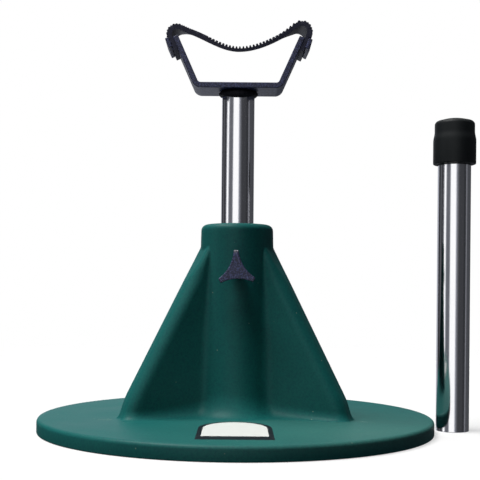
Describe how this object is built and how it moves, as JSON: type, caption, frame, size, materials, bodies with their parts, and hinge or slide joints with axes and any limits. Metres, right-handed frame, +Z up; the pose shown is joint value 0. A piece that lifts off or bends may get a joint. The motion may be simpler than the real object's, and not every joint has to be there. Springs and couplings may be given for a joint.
{
  "type": "hoof trimming stand",
  "caption": "Hoof trimming stand: a finned, moulded disc base with a clamped sliding post, a sling cradle on top, and a loose straight post with a rubber cap.",
  "frame": {"origin": "centre of the disc's underside, on the floor", "axes": "+Z up along the post, -Y towards the clamp knob, +X towards the straight post"},
  "size_m": [0.5074, 0.4572, 0.4759],
  "materials": {
    "green_moulding": "matte moulded",
    "stainless_tube": "polished along its length",
    "sleeve_steel": "plain drawn",
    "insert_brass": "turned",
    "stud_zinc": "zinc plated",
    "black_coat": "hammered powder coat",
    "black_screw": "black oxide",
    "belt_rubber": "rough top",
    "cap_rubber": "smooth moulded"
  },
  "bodies": {
    "base": {"base_moulding": "green_moulding", "socket_sleeve": "sleeve_steel", "clamp_insert": "insert_brass"},
    "clamp_screw": {"clamp_stud": "stud_zinc"},
    "clamp_handle": {"knob_boss": "black_coat", "clamp_knob": "black_coat"},
    "cradle_post": {"post_tube": "stainless_tube"},
    "cradle_head": {"head_bead": "black_coat", "cradle_bracket": "black_coat", "sling_strap": "belt_rubber", "strap_plate_left": "black_coat", "strap_plate_right": "black_coat", "strap_screw_left_front": "black_screw", "strap_screw_left_rear": "black_screw", "strap_screw_right_front": "black_screw", "strap_screw_right_rear": "black_screw"},
    "straight_post": {"spare_post_tube": "stainless_tube", "spare_post_cap": "cap_rubber", "spare_cap_washer": "sleeve_steel"}
  },
  "joints": [
    {"name": "clamp_travel", "type": "slide", "parent": "base", "child": "clamp_screw", "axis": [0, -1, 0], "range_m": [0, 0.00314]},
    {"name": "knob_turn", "type": "hinge", "parent": "clamp_screw", "child": "clamp_handle", "pos_m": [0, 0, 0.184], "axis": [0, -1, 0], "range_deg": [0, 720]},
    {"name": "post_height", "type": "slide", "parent": "base", "child": "cradle_post", "axis": [0, 0, 1], "range_m": [-0.076, 0.066]},
    {"name": "post_swivel", "type": "hinge", "parent": "cradle_post", "child": "cradle_head", "pos_m": [0, 0, 0.3944], "axis": [0, 0, 1], "range_deg": [-180, 180]},
    {"name": "straight_post_lift", "type": "slide", "parent": "base", "child": "straight_post", "axis": [0, 0, 1], "range_m": [0, 0.3]}
  ],
  "couplings": [
    {"joint": "knob_turn", "follows": "clamp_travel", "rad_per_m": 4000}
  ]
}
